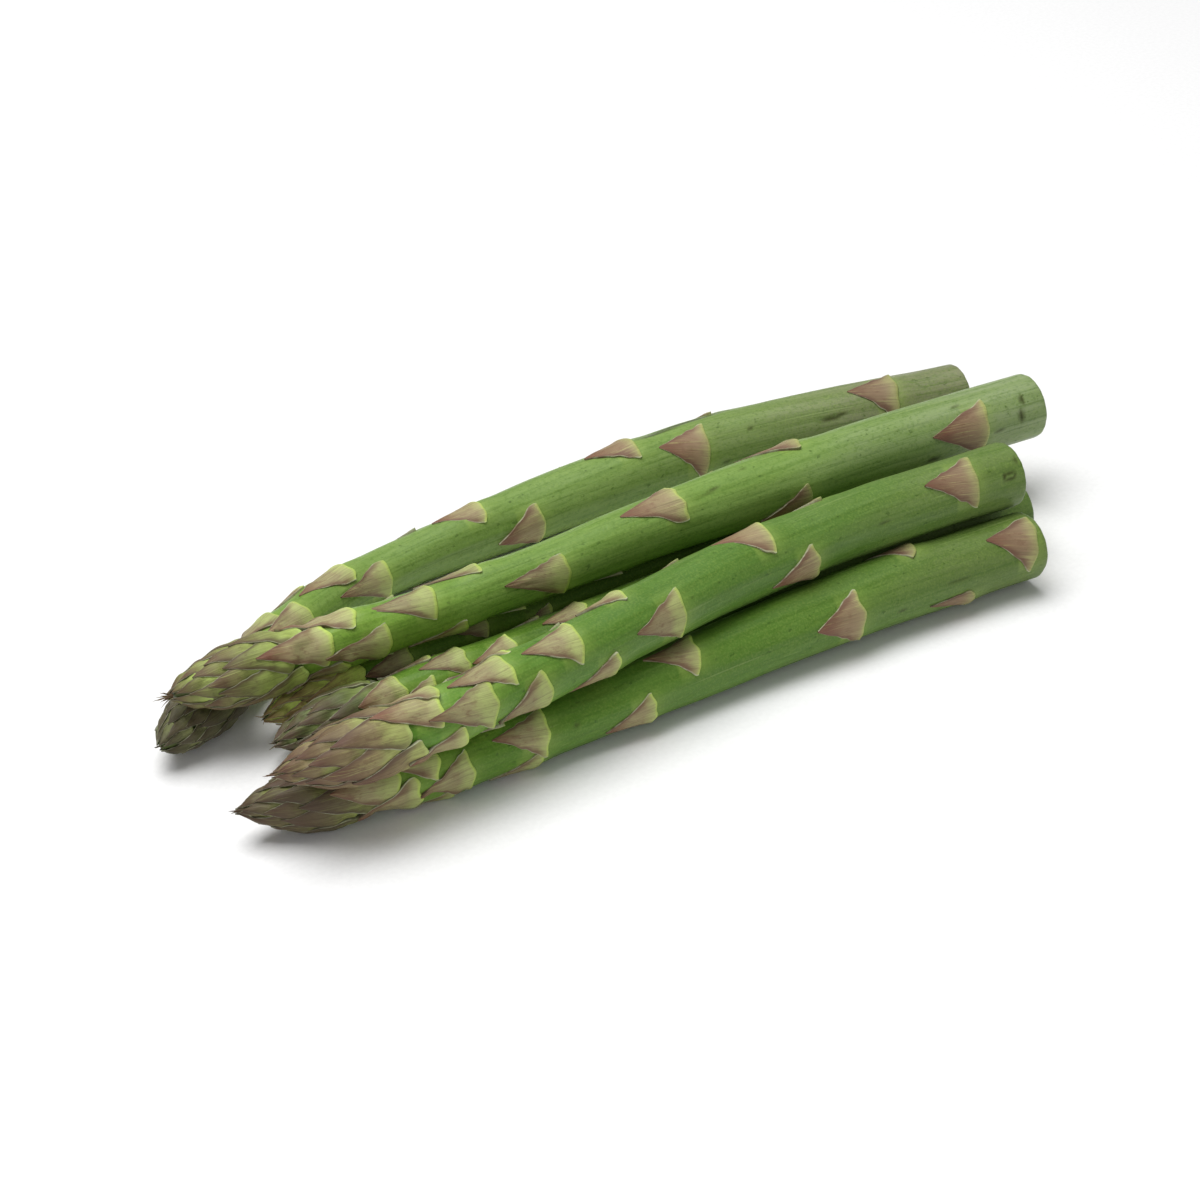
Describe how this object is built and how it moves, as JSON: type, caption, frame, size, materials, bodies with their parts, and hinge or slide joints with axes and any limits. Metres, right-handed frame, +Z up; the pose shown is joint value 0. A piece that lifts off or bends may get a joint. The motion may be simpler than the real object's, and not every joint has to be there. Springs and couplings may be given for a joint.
{
  "type": "bundle of asparagus",
  "caption": "Loose bundle of fresh green asparagus spears lying in a pile, cut ends together at one side and pointed scaly tips at the other, with scale leaves along the stalks.",
  "frame": {"origin": "middle of the pile's footprint, on the surface that it lies on", "axes": "+X along the spears towards the cut ends, +Y across the pile towards the spear that lies apart, +Z up"},
  "size_m": [0.225, 0.0912, 0.0292],
  "materials": {
    "stalk": "satin",
    "scale_leaf": "matte"
  },
  "bodies": {
    "root": {"spear_a_leaf_1": "scale_leaf", "spear_a_leaf_2": "scale_leaf", "spear_a_leaf_3": "scale_leaf", "spear_a_leaf_4": "scale_leaf", "spear_a_leaf_5": "scale_leaf", "spear_a_leaf_6": "scale_leaf", "spear_a_leaf_7": "scale_leaf", "spear_a_leaf_8": "scale_leaf", "spear_a_stalk": "stalk", "spear_b_leaf_1": "scale_leaf", "spear_b_leaf_2": "scale_leaf", "spear_b_leaf_3": "scale_leaf", "spear_b_leaf_4": "scale_leaf", "spear_b_leaf_5": "scale_leaf", "spear_b_leaf_6": "scale_leaf", "spear_b_leaf_7": "scale_leaf", "spear_b_leaf_8": "scale_leaf", "spear_b_stalk": "stalk", "spear_c_leaf_1": "scale_leaf", "spear_c_leaf_2": "scale_leaf", "spear_c_leaf_3": "scale_leaf", "spear_c_leaf_4": "scale_leaf", "spear_c_leaf_5": "scale_leaf", "spear_c_leaf_6": "scale_leaf", "spear_c_stalk": "stalk", "spear_d_leaf_1": "scale_leaf", "spear_d_leaf_2": "scale_leaf", "spear_d_leaf_3": "scale_leaf", "spear_d_leaf_4": "scale_leaf", "spear_d_leaf_5": "scale_leaf", "spear_d_leaf_6": "scale_leaf", "spear_d_leaf_7": "scale_leaf", "spear_d_leaf_8": "scale_leaf", "spear_d_stalk": "stalk", "spear_e_leaf_1": "scale_leaf", "spear_e_leaf_2": "scale_leaf", "spear_e_leaf_3": "scale_leaf", "spear_e_leaf_4": "scale_leaf", "spear_e_leaf_5": "scale_leaf", "spear_e_leaf_6": "scale_leaf", "spear_e_leaf_7": "scale_leaf", "spear_e_stalk": "stalk", "spear_f_leaf_1": "scale_leaf", "spear_f_leaf_2": "scale_leaf", "spear_f_leaf_3": "scale_leaf", "spear_f_leaf_4": "scale_leaf", "spear_f_leaf_5": "scale_leaf", "spear_f_leaf_6": "scale_leaf", "spear_f_leaf_7": "scale_leaf", "spear_f_leaf_8": "scale_leaf", "spear_f_stalk": "stalk", "spear_g_leaf_1": "scale_leaf", "spear_g_leaf_2": "scale_leaf", "spear_g_leaf_3": "scale_leaf", "spear_g_leaf_4": "scale_leaf", "spear_g_leaf_5": "scale_leaf", "spear_g_stalk": "stalk"}
  },
  "joints": []
}
